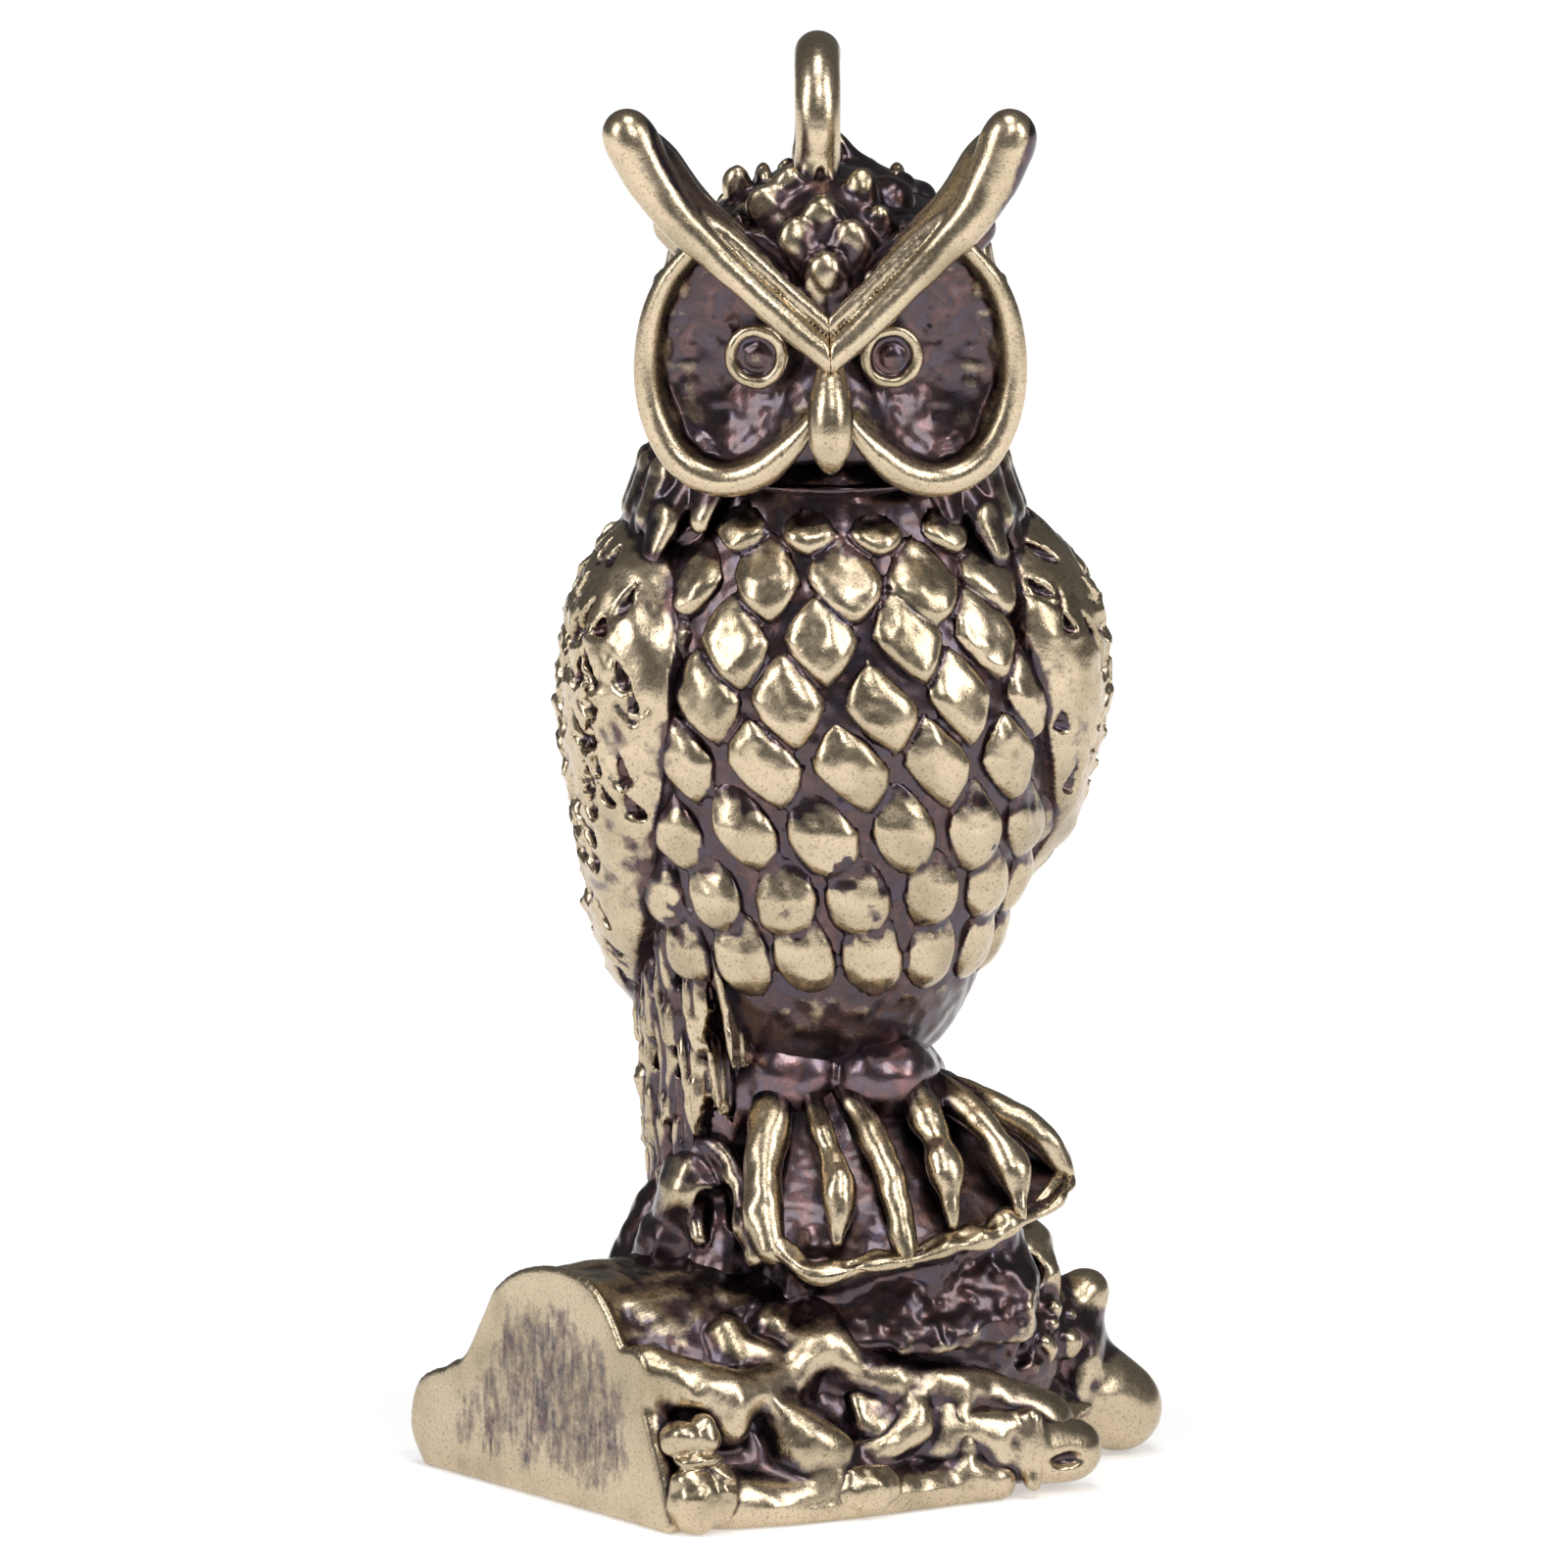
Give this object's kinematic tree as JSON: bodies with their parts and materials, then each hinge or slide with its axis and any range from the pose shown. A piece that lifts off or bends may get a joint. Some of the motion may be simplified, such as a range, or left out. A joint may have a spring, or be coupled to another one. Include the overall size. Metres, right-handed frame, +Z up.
{
  "type": "owl figurine",
  "caption": "Small antique-finished cast brass owl with long ear tufts, perched on a gnarled half-round log, with a fixed hanging loop on its crown.",
  "frame": {"origin": "on the flat underside of the log, straight below the owl's vertical axis", "axes": "+Z up through the owl; +X along the log away from its sawn end; -Y to the side the claws reach out over; the face is turned 35 degrees from -Y towards -X"},
  "size_m": [0.0192, 0.0151, 0.0423],
  "materials": {
    "antique_brass": "patinated in the hollows and rubbed bright on the high points",
    "polished_brass": "polished",
    "oxidised_brass": "dark purple-brown patina, glossy"
  },
  "bodies": {
    "root": {"log": "antique_brass", "front_branch_stub": "antique_brass", "rear_branch_stub": "antique_brass", "burl": "oxidised_brass", "pruned_knots": "polished_brass", "perch_rock": "oxidised_brass", "claw_ledge": "antique_brass", "rock_spur": "oxidised_brass", "torso": "oxidised_brass", "breast_feathers": "polished_brass", "left_wing": "antique_brass", "right_wing": "antique_brass", "left_flight_feathers": "antique_brass", "right_flight_feathers": "antique_brass", "tail": "antique_brass", "left_leg": "oxidised_brass", "right_leg": "oxidised_brass", "left_toes": "polished_brass", "right_toes": "polished_brass", "head": "oxidised_brass", "left_face_disc": "antique_brass", "right_face_disc": "antique_brass", "left_eye": "antique_brass", "right_eye": "antique_brass", "beak": "polished_brass", "left_brow": "polished_brass", "right_brow": "polished_brass", "crown_feathers": "antique_brass", "neck_ruff": "antique_brass", "hanging_loop": "polished_brass"}
  },
  "joints": []
}
